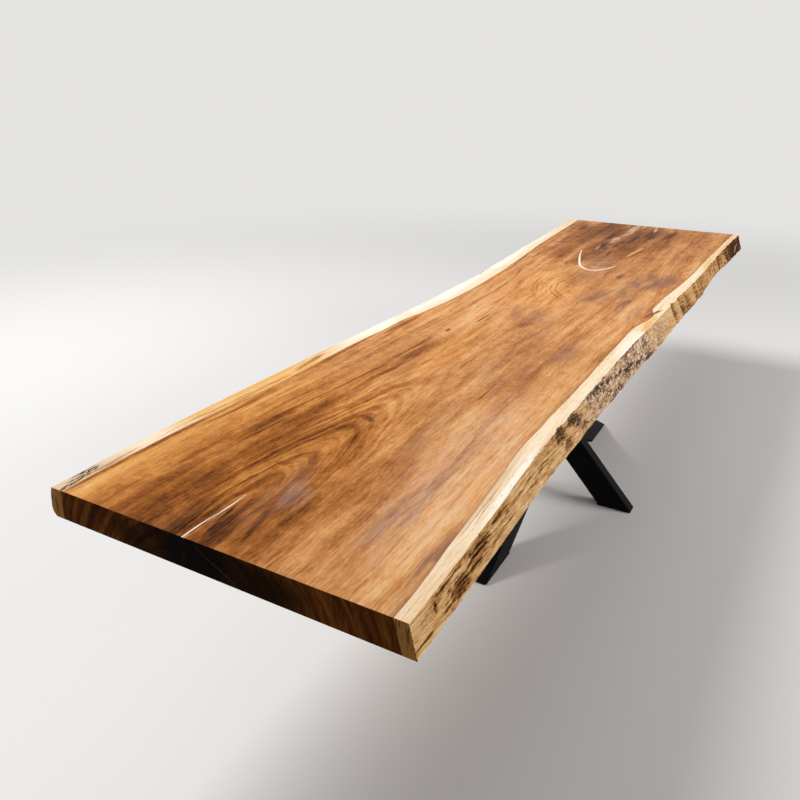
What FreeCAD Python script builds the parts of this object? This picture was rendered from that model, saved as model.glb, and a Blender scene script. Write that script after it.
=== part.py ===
import FreeCAD, Part
import math
import os
import Sketcher

# A live edge dining table: one sawn slab on a base of four crossed steel bars.
# X runs along the slab from its near end to its far end, Y across it, Z up from the floor.
# The origin is on the floor, under the middle of the slab's box.

doc = FreeCAD.newDocument("live_edge_table")

# Driving dimensions, in millimetres
dimensions = (
    # slab
    ("table_height", "760"),
    ("slab_length", "3690"),
    ("slab_width", "1000"),
    ("slab_thickness", "75"),
    ("left_edge_bulge", "9.6"),
    ("left_edge_flare", "9.6"),
    ("right_edge_bulge", "1"),
    # resin-filled cracks
    ("crack_depth", "40"),
    ("near_crack_length", "190"),
    ("near_crack_width", "7"),
    ("near_crack_across", "81"),
    ("far_crack_length", "345"),
    ("far_crack_width", "13"),
    ("far_crack_across", "60"),
    ("curved_crack_length", "390"),
    ("curved_crack_breadth", "242"),
    ("curved_crack_width", "10.5"),
    ("curved_crack_across", "15"),
    ("curved_crack_setback", "1185"),
    # crossed bars
    ("base_shift_along", "-44"),
    ("base_shift_across", "-109"),
    ("cross_bar_offset", "28"),
    ("bar_width", "100"),
    ("bar_thickness", "50"),
    ("bar_wall", "3"),
    ("bar_corner_radius", "4"),
    ("cross_bar_spread", "297"),
    ("long_bar_spread", "615"),
    # feet
    ("foot_plate_thickness", "5"),
    ("pad_thickness", "3"),
    ("pad_inset", "3"),
    # mounting plates
    ("mount_plate_thickness", "6"),
    ("mount_plate_margin", "5"),
    ("bolt_bar_gap", "25"),
    ("bolt_edge_distance", "25"),
    ("bolt_end_distance", "36"),
    ("slot_clearance", "0.5"),
    ("slot_run", "9"),
    # fasteners
    ("bolt_diameter", "8"),
    ("bolt_tip_gap", "4"),
    ("bolt_head_width", "13"),
    ("bolt_head_height", "5.3"),
    ("washer_diameter", "24"),
    ("washer_thickness", "2"),
    ("insert_wall", "2.9"),
    ("insert_length", "22"),
    ("insert_hole_spare", "3"),
    ("fit_clearance", "0.1"),
    # how far a cutting shape runs past what it cuts
    ("overrun", "10"),
)

sheet = doc.addObject("Spreadsheet::Sheet", "Sizes")
for row, (alias, value) in enumerate(dimensions, start=1):
    sheet.set(f"A{row}", alias)
    sheet.set(f"B{row}", value)
    sheet.setAlias(f"B{row}", alias)
doc.recompute()


def size(alias):
    return float(getattr(sheet, alias))


# Live edges: distance from the middle line at even steps from the near end to the far end,
# in shares of the slab's width
left_top_shares = (0.474, 0.478, 0.466, 0.4555, 0.439, 0.425, 0.4275, 0.4435, 0.4595, 0.473, 0.4895)
right_top_shares = (0.427, 0.4175, 0.403, 0.404, 0.4075, 0.416, 0.428, 0.4445, 0.4475, 0.456, 0.473)
right_bottom_shares = (0.445, 0.436, 0.4295, 0.437, 0.446, 0.455, 0.464, 0.4745, 0.4685, 0.487, 0.5)
belly_height_share = 0.45

# Cracks: each row is a place along, a place across and a width.
# End checks run straight in from just outside an end of the slab, in shares of their length and width.
end_check_shares = (
    (-0.05, 0.0, 1.0),
    (0.3, 0.012, 0.8),
    (0.65, -0.006, 0.55),
    (1.0, 0.0, 0.12),
)
# The curved crack turns back on itself, in shares of its length, breadth and width.
curved_crack_shares = (
    (1.0, 0.64, 0.15),
    (0.615, 0.496, 0.8),
    (0.36, 0.372, 1.0),
    (0.154, 0.248, 1.0),
    (0.038, 0.103, 1.0),
    (0.0, 0.0, 1.0),
    (0.038, -0.124, 1.0),
    (0.154, -0.248, 0.8),
    (0.333, -0.36, 0.2),
)

# Heights and bar cuts that several pieces share, as expressions on the sheet
slab_underside = "(Sizes.table_height - Sizes.slab_thickness)"
tube_foot = "(Sizes.pad_thickness + Sizes.foot_plate_thickness)"
tube_top = f"({slab_underside} - Sizes.mount_plate_thickness)"
bar_middle = f"(({tube_top} + {tube_foot}) / 2)"
half_rise = f"(({tube_top} - {tube_foot}) / 2)"
# the cross bars meet this far left of the long bars' middle
cross_offset = "Sizes.cross_bar_offset"
cross_spread = "Sizes.cross_bar_spread"
long_spread = "Sizes.long_bar_spread"
void_width = "(Sizes.bar_width - 2 * Sizes.bar_wall)"
void_thickness = "(Sizes.bar_thickness - 2 * Sizes.bar_wall)"
half_gauge = "(Sizes.bar_thickness / 2 + Sizes.bolt_bar_gap)"
slot_radius = "(Sizes.bolt_diameter / 2 + Sizes.slot_clearance)"
bolt_bore = "(Sizes.bolt_diameter + 2 * Sizes.fit_clearance)"
insert_diameter = f"({bolt_bore} + 2 * Sizes.insert_wall)"


def half_cut(spread, width):
    # half the length of a level cut through a leaning bar
    return f"({width} / 2 * hypot({half_rise}; {spread}) / {half_rise})"


def value_of(expression):
    return float(sheet.evalExpression(expression))


# Slab


def live_edge(y_places, height):
    steps = len(y_places) - 1
    middle_share = 0.5
    curve = Part.BSplineCurve()
    curve.interpolate([
        FreeCAD.Vector(size("slab_length") * (step / steps - middle_share), y, height)
        for step, y in enumerate(y_places)
    ])
    return curve.toShape()


def slab_outline(left_places, right_places, height):
    left = live_edge(left_places, height)
    right = live_edge(right_places, height)
    near_cut = Part.makeLine(right.firstVertex().Point, left.firstVertex().Point)
    far_cut = Part.makeLine(left.lastVertex().Point, right.lastVertex().Point)
    return Part.Wire(Part.__sortEdges__([left, far_cut, right, near_cut]))


def slab_blank():
    left_top = [share * size("slab_width") for share in left_top_shares]
    right_top = [-share * size("slab_width") for share in right_top_shares]
    right_bottom = [-share * size("slab_width") for share in right_bottom_shares]
    left_belly = [y + size("left_edge_bulge") for y in left_top]
    left_bottom = [y + size("left_edge_flare") for y in left_top]
    right_belly = [
        (above + below) / 2 - size("right_edge_bulge") for above, below in zip(right_top, right_bottom)
    ]
    underside = value_of(slab_underside)
    belly = underside + size("slab_thickness") * belly_height_share
    outlines = [
        slab_outline(left_bottom, right_bottom, underside),
        slab_outline(left_belly, right_belly, belly),
        slab_outline(left_top, right_top, size("table_height")),
    ]
    return Part.makeLoft(outlines, True)


def crack_solid(places, widths):
    # a ribbon round the crack's middle line, from the top face down
    middle = Part.BSplineCurve()
    middle.interpolate(places)
    sides = ([], [])
    for place, width in zip(places, widths):
        tangent = middle.tangent(middle.parameter(place))[0]
        square = FreeCAD.Vector(-tangent.y, tangent.x, 0).normalize() * (width / 2)
        sides[0].append(place + square)
        sides[1].append(place - square)
    edges = []
    for side in sides:
        curve = Part.BSplineCurve()
        curve.interpolate(side)
        edges.append(curve.toShape())
    edges.append(Part.makeLine(sides[0][0], sides[1][0]))
    edges.append(Part.makeLine(sides[0][-1], sides[1][-1]))
    ribbon = Part.Face(Part.Wire(Part.__sortEdges__(edges)))
    return ribbon.extrude(FreeCAD.Vector(0, 0, -size("crack_depth")))


def end_check(name, end, blank):
    # end is -1 at the near end and 1 at the far end, and the check is trimmed flush with it
    length = size(f"{name}_length")
    places = [
        FreeCAD.Vector(
            end * (size("slab_length") / 2 - along * length),
            size(f"{name}_across") + across * length,
            size("table_height"),
        )
        for along, across, width in end_check_shares
    ]
    widths = [width * size(f"{name}_width") for along, across, width in end_check_shares]
    return crack_solid(places, widths).common(blank)


def curved_crack():
    turn = size("slab_length") / 2 - size("curved_crack_setback")
    places = [
        FreeCAD.Vector(
            turn + along * size("curved_crack_length"),
            size("curved_crack_across") + across * size("curved_crack_breadth"),
            size("table_height"),
        )
        for along, across, width in curved_crack_shares
    ]
    widths = [width * size("curved_crack_width") for along, across, width in curved_crack_shares]
    return crack_solid(places, widths)


def shape_feature(label, shape):
    feature = doc.addObject("Part::Feature", label)
    feature.Shape = shape
    feature.Placement = FreeCAD.Placement()


# Crossed bars

# largest sine of the angle between two edges that count as parallel
parallel_share = 1e-6
below_foot = f"{tube_foot} - Sizes.overrun"
above_middle = f"{bar_middle} + Sizes.overrun"
below_middle = f"{bar_middle} - Sizes.overrun"
above_top = f"{tube_top} + Sizes.overrun"


def origin_plane(body, role):
    return next(feature for feature in body.Origin.OriginFeatures if feature.Role == role)


def new_sketch(body, name, role):
    sketch = body.newObject("Sketcher::SketchObject", name)
    sketch.AttachmentSupport = (origin_plane(body, role), "")
    sketch.MapMode = "FlatFace"
    return sketch


def pin_point(sketch, geometry, point, across, up):
    # holds one point of a sketch at two expressions from the sketch's origin
    for kind, expression in (("DistanceX", across), ("DistanceY", up)):
        pin = Sketcher.Constraint(kind, -1, 1, geometry, point, value_of(expression))
        sketch.setExpression(f"Constraints[{sketch.addConstraint(pin)}]", expression)


def polygon_sketch(body, name, role, corners):
    sketch = new_sketch(body, name, role)
    points = [FreeCAD.Vector(value_of(across), value_of(up), 0) for across, up in corners]
    count = len(points)
    for corner in range(count):
        sketch.addGeometry(Part.LineSegment(points[corner], points[(corner + 1) % count]))
    for corner in range(count):
        sketch.addConstraint(Sketcher.Constraint("Coincident", corner, 2, (corner + 1) % count, 1))
    for corner, (across, up) in enumerate(corners):
        pin_point(sketch, corner, 1, across, up)
    return sketch


def thicken(body, kind, name, sketch, thickness):
    feature = body.newObject(kind, name)
    feature.Profile = sketch
    feature.SideType = "Symmetric"
    feature.setExpression("Length", thickness)
    doc.recompute()
    return feature


def place_on_base(piece, along="0", across="0", up="0"):
    piece.setExpression("Placement.Base.x", f"Sizes.base_shift_along + {along}")
    piece.setExpression("Placement.Base.y", f"Sizes.base_shift_across + {across}")
    piece.setExpression("Placement.Base.z", up)


def bar(label, role, spread, lean, corners, void_foot, void_head):
    # lean is the side of the middle that the bar's foot stands on
    body = doc.addObject("PartDesign::Body", label)
    outline = polygon_sketch(body, f"{label}_outline", role, corners)
    solid = thicken(body, "PartDesign::Pad", f"{label}_solid", outline, "Sizes.bar_thickness")

    sideways = FreeCAD.Vector(1, 0, 0) if role == "XZ_Plane" else FreeCAD.Vector(0, 1, 0)
    run = sideways * (-lean * value_of(spread)) + FreeCAD.Vector(0, 0, value_of(half_rise))
    long_edges = [
        f"Edge{number}"
        for number, edge in enumerate(solid.Shape.Edges, start=1)
        if edge.tangentAt(edge.FirstParameter).cross(run).Length < run.Length * parallel_share
    ]
    rounding = body.newObject("PartDesign::Fillet", f"{label}_corners")
    rounding.Base = (solid, long_edges)
    rounding.setExpression("Radius", "Sizes.bar_corner_radius")
    doc.recompute()

    half_void = half_cut(spread, void_width)
    rows = []
    for height, order in ((void_foot, (-1, 1)), (void_head, (1, -1))):
        middle = f"{lean} * {spread} * ({bar_middle} - ({height})) / {half_rise}"
        rows += [(f"{middle} + {side} * {half_void}", height) for side in order]
    hollow = polygon_sketch(body, f"{label}_hollow", role, rows)
    full_volume = body.Shape.Volume
    thicken(body, "PartDesign::Pocket", f"{label}_void", hollow, void_thickness)
    if body.Shape.Volume >= full_volume:
        raise RuntimeError(f"{label} is not hollow")
    place_on_base(body, across=cross_offset if role == "YZ_Plane" else "0")


def cross_bars():
    # The bar that stands on the right foot runs through, and the other is welded to it in two lengths.
    cut = half_cut(cross_spread, "Sizes.bar_width")
    notch = f"{cut} * {half_rise} / {cross_spread}"
    through = (
        (f"-{cross_spread} - {cut}", tube_foot),
        (f"-{cross_spread} + {cut}", tube_foot),
        (f"{cross_spread} + {cut}", tube_top),
        (f"{cross_spread} - {cut}", tube_top),
    )
    lower = (
        (f"{cross_spread} - {cut}", tube_foot),
        (f"{cross_spread} + {cut}", tube_foot),
        (cut, bar_middle),
        ("0", f"{bar_middle} - {notch}"),
    )
    upper = (
        (f"{cut} - {cross_spread}", tube_top),
        (f"-{cross_spread} - {cut}", tube_top),
        (f"-{cut}", bar_middle),
        ("0", f"{bar_middle} + {notch}"),
    )
    bar("cross_bar_through", "YZ_Plane", cross_spread, -1, through, below_foot, above_top)
    bar("cross_bar_lower", "YZ_Plane", cross_spread, 1, lower, below_foot, above_middle)
    bar("cross_bar_upper", "YZ_Plane", cross_spread, 1, upper, below_middle, above_top)


def long_bars():
    # Four lengths are welded to the flat sides of the cross bars, and mitred to each other at mid height.
    cut = half_cut(long_spread, "Sizes.bar_width")
    butt = "Sizes.bar_thickness / 2"
    notch = f"({cut} + {butt}) * {half_rise} / {long_spread}"
    for end, side in (("near", -1), ("far", 1)):
        for part, level, lean, void_foot, void_head in (
            ("lower", tube_foot, side, below_foot, above_middle),
            ("upper", tube_top, -side, below_middle, above_top),
        ):
            up = -1 if part == "lower" else 1
            corners = (
                (f"{side} * ({long_spread} - {cut})", level),
                (f"{side} * ({long_spread} + {cut})", level),
                (f"{side} * {cut}", bar_middle),
                (f"{side} * {butt}", bar_middle),
                (f"{side} * {butt}", f"{bar_middle} + {up} * {notch}"),
            )
            bar(f"long_bar_{end}_{part}", "XZ_Plane", long_spread, lean, corners, void_foot, void_head)


# Feet and mounting plates


# name of the bar's end, side of the middle that its foot and its top end stand on, spread,
# and whether the bar runs along X rather than across Y
bar_ends = (
    ("right", -1, cross_spread, False),
    ("left", 1, cross_spread, False),
    ("near", -1, long_spread, True),
    ("far", 1, long_spread, True),
)


def centre_of(side, spread, is_long):
    reach = f"{side} * {spread}"
    return (reach, "0") if is_long else ("0", f"{cross_offset} + {reach}")


def flat_block(label, length, width, height, is_long, middle, up):
    block = doc.addObject("Part::Box", label)
    along, across = (length, width) if is_long else (width, length)
    block.setExpression("Length", along)
    block.setExpression("Width", across)
    block.setExpression("Height", height)
    place_on_base(block, f"{middle[0]} - ({along}) / 2", f"{middle[1]} - ({across}) / 2", up)


def feet():
    for end, side, spread, is_long in bar_ends:
        length = f"2 * {half_cut(spread, 'Sizes.bar_width')}"
        middle = centre_of(side, spread, is_long)
        flat_block(f"foot_plate_{end}", length, "Sizes.bar_thickness", "Sizes.foot_plate_thickness",
                   is_long, middle, "Sizes.pad_thickness")
        flat_block(f"foot_pad_{end}", f"{length} - 2 * Sizes.pad_inset",
                   "Sizes.bar_thickness - 2 * Sizes.pad_inset", "Sizes.pad_thickness",
                   is_long, middle, "0")


def plate_length(spread):
    return f"(2 * {half_cut(spread, 'Sizes.bar_width')} + 2 * Sizes.mount_plate_margin)"


def bolt_offsets(spread, is_long):
    # bolt places about a plate's middle: two beside the bar on each side
    half_pitch = f"({plate_length(spread)} / 2 - Sizes.bolt_end_distance)"
    offsets = []
    for ahead in (-1, 1):
        for beside in (-1, 1):
            pair = (f"{ahead} * {half_pitch}", f"{beside} * {half_gauge}")
            offsets.append(pair if is_long else pair[::-1])
    return offsets


def slot_sketch(body, name, centres):
    # slots run across the slab, so that the wood can move with the seasons
    sketch = new_sketch(body, name, "XY_Plane")
    up = FreeCAD.Vector(0, 0, 1)
    radius = value_of(slot_radius)
    for across_x, across_y in centres:
        first = sketch.GeometryCount
        ends = (f"{across_y} - Sizes.slot_run / 2", f"{across_y} + Sizes.slot_run / 2")
        x = value_of(across_x)
        low = FreeCAD.Vector(x, value_of(ends[0]), 0)
        high = FreeCAD.Vector(x, value_of(ends[1]), 0)
        wall = FreeCAD.Vector(radius, 0, 0)
        sketch.addGeometry(Part.ArcOfCircle(Part.Circle(low, up, radius), math.pi, 2 * math.pi))
        sketch.addGeometry(Part.LineSegment(low + wall, high + wall))
        sketch.addGeometry(Part.ArcOfCircle(Part.Circle(high, up, radius), 0, math.pi))
        sketch.addGeometry(Part.LineSegment(high - wall, low - wall))
        for step in range(4):
            after = first + (step + 1) % 4
            sketch.addConstraint(Sketcher.Constraint("Tangent", first + step, 2, after, 1))
        for arc, end in ((first, ends[0]), (first + 2, ends[1])):
            pin_point(sketch, arc, 3, across_x, end)
        rounding = sketch.addConstraint(Sketcher.Constraint("Radius", first, radius))
        sketch.setExpression(f"Constraints[{rounding}]", slot_radius)
    return sketch


def mount_plates():
    for end, side, spread, is_long in bar_ends:
        label = f"mount_plate_{end}"
        body = doc.addObject("PartDesign::Body", label)
        half_length = f"{plate_length(spread)} / 2"
        half_width = f"({half_gauge} + Sizes.bolt_edge_distance)"
        half_x, half_y = (half_length, half_width) if is_long else (half_width, half_length)
        corners = (
            (f"-({half_x})", f"-({half_y})"),
            (half_x, f"-({half_y})"),
            (half_x, half_y),
            (f"-({half_x})", half_y),
        )
        outline = polygon_sketch(body, f"{label}_outline", "XY_Plane", corners)
        thicken(body, "PartDesign::Pad", f"{label}_blank", outline, "Sizes.mount_plate_thickness")
        blank_volume = body.Shape.Volume
        slots = slot_sketch(body, f"{label}_slot_outlines", bolt_offsets(spread, is_long))
        slot_depth = "Sizes.mount_plate_thickness + Sizes.overrun"
        thicken(body, "PartDesign::Pocket", f"{label}_slots", slots, slot_depth)
        if body.Shape.Volume >= blank_volume:
            raise RuntimeError(f"{label} has no slots")
        middle = centre_of(side, spread, is_long)
        place_on_base(body, middle[0], middle[1], f"{tube_top} + Sizes.mount_plate_thickness / 2")


# Fasteners


def bolt_places():
    places = []
    for end, side, spread, is_long in bar_ends:
        middle = centre_of(side, spread, is_long)
        for offset_x, offset_y in bolt_offsets(spread, is_long):
            places.append(FreeCAD.Vector(
                value_of(f"Sizes.base_shift_along + {middle[0]} + {offset_x}"),
                value_of(f"Sizes.base_shift_across + {middle[1]} + {offset_y}"),
                0,
            ))
    return places


def hexagon_prism(width, height, base):
    corner_radius = width / math.sqrt(3)
    corners = [
        base + FreeCAD.Vector(corner_radius * math.cos(turn), corner_radius * math.sin(turn), 0)
        for turn in (step * math.pi / 3 for step in range(7))
    ]
    return Part.Face(Part.makePolygon(corners)).extrude(FreeCAD.Vector(0, 0, height))


def ring(outer_diameter, inner_diameter, height, base):
    outer = Part.makeCylinder(outer_diameter / 2, height, base)
    return outer.cut(Part.makeCylinder(inner_diameter / 2, height, base))


def fastener_groups():
    underside = value_of(slab_underside)
    plate_face = value_of(tube_top)
    washer_face = plate_face - size("washer_thickness")
    bore = value_of(bolt_bore)
    shank_length = underside + size("insert_length") - size("bolt_tip_gap") - washer_face
    bolts, washers, inserts = [], [], []
    for place in bolt_places():
        head_foot = place + FreeCAD.Vector(0, 0, washer_face - size("bolt_head_height"))
        shank_foot = place + FreeCAD.Vector(0, 0, washer_face)
        head = hexagon_prism(size("bolt_head_width"), size("bolt_head_height"), head_foot)
        bolts.append(head.fuse(Part.makeCylinder(size("bolt_diameter") / 2, shank_length, shank_foot)))
        washers.append(ring(size("washer_diameter"), bore, size("washer_thickness"), shank_foot))
        insert_foot = place + FreeCAD.Vector(0, 0, underside)
        inserts.append(ring(value_of(insert_diameter), bore, size("insert_length"), insert_foot))
    shape_feature("mount_bolts", Part.makeCompound(bolts))
    shape_feature("mount_washers", Part.makeCompound(washers))
    shape_feature("threaded_inserts", Part.makeCompound(inserts))


def insert_holes():
    radius = value_of(insert_diameter) / 2 + size("fit_clearance")
    depth = size("insert_length") + size("insert_hole_spare")
    start = FreeCAD.Vector(0, 0, value_of(slab_underside) - size("overrun"))
    return [Part.makeCylinder(radius, depth + size("overrun"), place + start) for place in bolt_places()]


# The whole table

blank = slab_blank()
fills = (
    ("resin_fill_near_end", end_check("near_crack", -1, blank)),
    ("resin_fill_far_end", end_check("far_crack", 1, blank)),
    ("resin_fill_far_curve", curved_crack()),
)
for label, fill in fills:
    shape_feature(label, fill)
shape_feature("slab_top", blank.cut([fill for label, fill in fills] + insert_holes()))
cross_bars()
long_bars()
feet()
mount_plates()
fastener_groups()
doc.recompute()

# Every piece is sound before it is written
for piece in doc.Objects:
    if "Invalid" in piece.State or "Error" in piece.State:
        raise RuntimeError(f"{piece.Label} failed: {piece.State}")
pieces = [
    piece for piece in doc.Objects
    if piece.TypeId in ("PartDesign::Body", "Part::Box", "Part::Feature")
]
for piece in pieces:
    if piece.Shape.isNull() or not piece.Shape.isValid():
        raise RuntimeError(f"{piece.Label} has no valid shape")
os.makedirs("parts", exist_ok=True)
for piece in pieces:
    piece.Shape.exportStep(f"parts/{piece.Label}.step")
    print(f"{piece.Label}: {len(piece.Shape.Solids)} solids, {piece.Shape.Volume / 1000:.1f} cm3")
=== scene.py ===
import math
import bmesh
import bpy
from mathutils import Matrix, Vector, noise
from mathutils.bvhtree import BVHTree


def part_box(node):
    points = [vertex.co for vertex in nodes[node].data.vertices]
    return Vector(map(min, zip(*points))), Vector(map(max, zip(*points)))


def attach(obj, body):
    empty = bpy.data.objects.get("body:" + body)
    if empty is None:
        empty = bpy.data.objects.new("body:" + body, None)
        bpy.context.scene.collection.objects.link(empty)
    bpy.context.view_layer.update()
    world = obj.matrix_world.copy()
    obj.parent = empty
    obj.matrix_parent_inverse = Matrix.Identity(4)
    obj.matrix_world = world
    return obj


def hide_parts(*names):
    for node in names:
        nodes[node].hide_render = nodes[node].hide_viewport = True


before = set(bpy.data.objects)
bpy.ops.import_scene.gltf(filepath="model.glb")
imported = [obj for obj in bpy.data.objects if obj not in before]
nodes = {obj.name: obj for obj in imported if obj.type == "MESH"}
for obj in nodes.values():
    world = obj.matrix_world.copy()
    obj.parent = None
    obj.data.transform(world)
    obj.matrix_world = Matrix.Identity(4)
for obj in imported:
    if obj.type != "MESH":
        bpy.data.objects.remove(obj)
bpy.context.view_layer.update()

print("frame loaded:", len(nodes), "nodes")


# colours are written as a picture editor shows them, 0 to 255, and made linear for the shader
def tone(red, green, blue):
    shares = [level / 255 for level in (red, green, blue)]
    linear = [s / 12.92 if s < 0.04045 else ((s + 0.055) / 1.055) ** 2.4 for s in shares]
    return (*linear, 1.0)


class Wire:
    # one node's output; sums of wires add Math nodes
    def __init__(self, finish, socket):
        self.finish = finish
        self.socket = socket

    def math(self, operation, *others):
        sockets = dict(enumerate((self, *others)))
        return self.finish.node("ShaderNodeMath", {"operation": operation}, sockets)

    def __add__(self, other):
        return self.math("ADD", other)

    __radd__ = __add__

    def __sub__(self, other):
        return self.math("SUBTRACT", other)

    def __rsub__(self, other):
        return self.math("MULTIPLY_ADD", -1.0, other)

    def __mul__(self, other):
        return self.math("MULTIPLY", other)

    __rmul__ = __mul__

    def __pow__(self, other):
        return self.math("POWER", other)

    # this wire times a factor, plus something more
    def scaled(self, factor, extra):
        return self.math("MULTIPLY_ADD", factor, extra)


class Finish:
    # one material and the nodes that paint it
    def __init__(self, name):
        self.material = bpy.data.materials.new(name)
        self.material.use_nodes = True
        self.tree = self.material.node_tree
        self.tree.nodes.clear()
        self.place = self.node("ShaderNodeTexCoord", output="Object")
        self.x = self.axis(self.place, "X")
        self.y = self.axis(self.place, "Y")
        self.z = self.axis(self.place, "Z")

    # any node: its settings first, then the values or wires of its sockets
    def node(self, kind, settings=None, sockets=None, output=0):
        made = self.tree.nodes.new(kind)
        for key, value in (settings or {}).items():
            if key == "stops":
                self.setStops(made.color_ramp, value)
            elif key == "blend":
                made.color_ramp.interpolation = value
            else:
                setattr(made, key, value)
        for key, value in (sockets or {}).items():
            if isinstance(value, Wire):
                self.tree.links.new(value.socket, made.inputs[key])
            else:
                made.inputs[key].default_value = value
        return Wire(self, made.outputs[output]) if made.outputs else None

    def setStops(self, ramp, stops):
        while len(ramp.elements) < len(stops):
            ramp.elements.new(1.0)
        for element, (position, colour) in zip(ramp.elements, stops):
            element.position = position
            element.color = colour

    def axis(self, vector, name):
        return self.node("ShaderNodeSeparateXYZ", None, {"Vector": vector}, name)

    def vector(self, x, y, z):
        return self.node("ShaderNodeCombineXYZ", None, {"X": x, "Y": y, "Z": z})

    def radius(self, one, other):
        return (one ** 2.0 + other ** 2.0).math("SQRT")

    # a value painted on the mesh
    def painted(self, name):
        return self.node("ShaderNodeAttribute", {"attribute_name": name}, None, "Fac")

    def grain(self, vector, detail, roughness):
        sockets = {"Vector": vector, "Scale": 1.0, "Detail": detail, "Roughness": roughness}
        return self.node("ShaderNodeTexNoise", None, sockets)

    # noise with its own scale on each axis
    def texture(self, x, y, z, detail, roughness):
        scaled = self.node("ShaderNodeVectorMath", {"operation": "MULTIPLY"}, {0: self.place, 1: (x, y, z)})
        return self.grain(scaled, detail, roughness)

    # floor below low, full above high, eased between; low may be the larger
    def ease(self, value, low, high, full=1.0, floor=0.0):
        sockets = {"Value": value, "From Min": low, "From Max": high, "To Min": floor, "To Max": full}
        return self.node("ShaderNodeMapRange", {"interpolation_type": "SMOOTHSTEP"}, sockets)

    def ramp(self, value, stops, blend="LINEAR"):
        return self.node("ShaderNodeValToRGB", {"stops": stops, "blend": blend}, {"Fac": value})

    # a level that follows a share of the length, from stops of (share, level)
    def course(self, share, stops):
        greys = [(position, (level, level, level, 1.0)) for position, level in stops]
        return self.ramp(share, greys, "B_SPLINE")

    # sockets 6 and 7 and output 2 are the mix node's colours
    def mix(self, share, under, over, mode="MIX"):
        settings = {"data_type": "RGBA", "blend_type": mode}
        return self.node("ShaderNodeMix", settings, {0: share, 6: under, 7: over}, 2)

    # a soft oval about (x, y): full strength in its middle quarter, nothing at its rim and outside
    def oval(self, flat, x, y, length, width, turn, strength):
        cos = math.cos(math.radians(turn))
        sin = math.sin(math.radians(turn))
        flatX, flatY = flat
        along = flatX.scaled(cos / length, flatY.scaled(sin / length, -(x * cos + y * sin) / length))
        aside = flatX.scaled(-sin / width, flatY.scaled(cos / width, (x * sin - y * cos) / width))
        return self.ease(along * along + aside * aside, 1.0, 0.06, strength)

    # the strongest of many ovals, each row (x, y, half length, half width, turn, strength)
    def ovals(self, flat, rows):
        total = self.oval(flat, *rows[0])
        for row in rows[1:]:
            total = total.math("MAXIMUM", self.oval(flat, *row))
        return total

    # ovals broken up by a noise, which eases between two shares
    def broken(self, flat, rows, noiseWire, easing):
        return self.ovals(flat, rows) * self.ease(noiseWire, *easing)

    # the shader: gloss and depth of relief come from the piece's dictionary, and a noise may vary the gloss
    def cover(self, look, colour, height, patchy=None):
        roughness = look["roughness"]
        if patchy is not None:
            roughness = roughness + (patchy - 0.5) * look["roughSpread"]
        sockets = {"Base Color": colour, "Roughness": roughness, "Metallic": look.get("metal", 0.0)}
        sockets["Specular IOR Level"] = look["specular"]
        sockets["Normal"] = self.node("ShaderNodeBump", None, {"Height": height, "Distance": look["relief"]})
        shader = self.node("ShaderNodeBsdfPrincipled", None, sockets)
        self.node("ShaderNodeOutputMaterial", None, {"Surface": shader})
        return self.material


# a share of one wire and the rest of another
def blended(one, other, share):
    return one * share + other * (1 - share)


def addMesh(name, shape):
    mesh = bpy.data.meshes.new(name)
    shape.to_mesh(mesh)
    shape.free()
    made = bpy.data.objects.new(name, mesh)
    bpy.context.scene.collection.objects.link(made)
    return made


def dress(names, finish):
    for name in names:
        slots = nodes[name].data.materials
        slots.clear()
        slots.append(finish)


# the slab: sizes in metres, shares of its length counted from the near end
slab = dict(
    columns=1200, topRows=8, edgeRows=24,
    skin=0.0002,         # the slab's skin lies this far under the resin's
    arris=0.0012, arrisSegments=2, cornerAngle=50.0,        # softened corners
    sharpAngle=35.0,     # steps steeper than this stay crisp
    sapLeft=[0.036, 0.038, 0.056, 0.047, 0.060, 0.075, 0.074, 0.066, 0.055, 0.050, 0.050],
    sapRight=[0.028, 0.036, 0.044, 0.039, 0.042, 0.046, 0.045, 0.037, 0.031, 0.028, 0.030],
    # places where the heartwood bites into the sapwood: side, start, deepest place, end, depth
    sapBites=[(-1, -0.12, 0.09, 0.19, 0.025), (-1, -1.15, -1.02, -0.94, 0.003),
              (1, -0.60, -0.42, -0.28, 0.010)],
)
slabLow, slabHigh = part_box("slab_top")
slabLength = slabHigh.x - slabLow.x
slabDepth = slabHigh.z - slabLow.z
slabSolid = nodes["slab_top"].data
slabCorners = [vertex.co for vertex in slabSolid.vertices]
slabTree = BVHTree.FromPolygons(slabCorners, [list(face.vertices) for face in slabSolid.polygons])


# where a place lies along the slab, as a share of its length from the near end
def alongShare(finish):
    return (finish.x - slabLow.x) * (1 / slabLength)


# a share from 0 to 1, slow at both ends
def eased(part):
    return part * part * (3 - 2 * part)


def betweenStations(levels, share):
    place = min(max(share, 0.0), 1.0) * (len(levels) - 1)
    left = min(int(place), len(levels) - 2)
    part = eased(place - left)
    return levels[left] * (1 - part) + levels[left + 1] * part


def sapWidth(x, side):
    stations = slab["sapRight"] if side < 0 else slab["sapLeft"]
    width = betweenStations(stations, (x - slabLow.x) / slabLength)
    for biteSide, start, deepest, end, bite in slab["sapBites"]:
        if biteSide == side and start < x < end:
            part = (x - start) / (deepest - start) if x < deepest else (end - x) / (end - deepest)
            width -= bite * eased(part)
    return width


# how far the solid's edge reaches at a place along the slab and a height; side is -1 right, 1 left
def edgeReach(x, z, side):
    clear = slab["skin"] * 2
    x = min(max(x, slabLow.x + clear), slabHigh.x - clear)
    z = min(max(z, slabLow.z + clear), slabHigh.z - clear)
    outside = Vector((x, side * slabLength, z))
    hit = slabTree.ray_cast(outside, Vector((0.0, -side, 0.0)))[0]
    return hit.y


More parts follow.
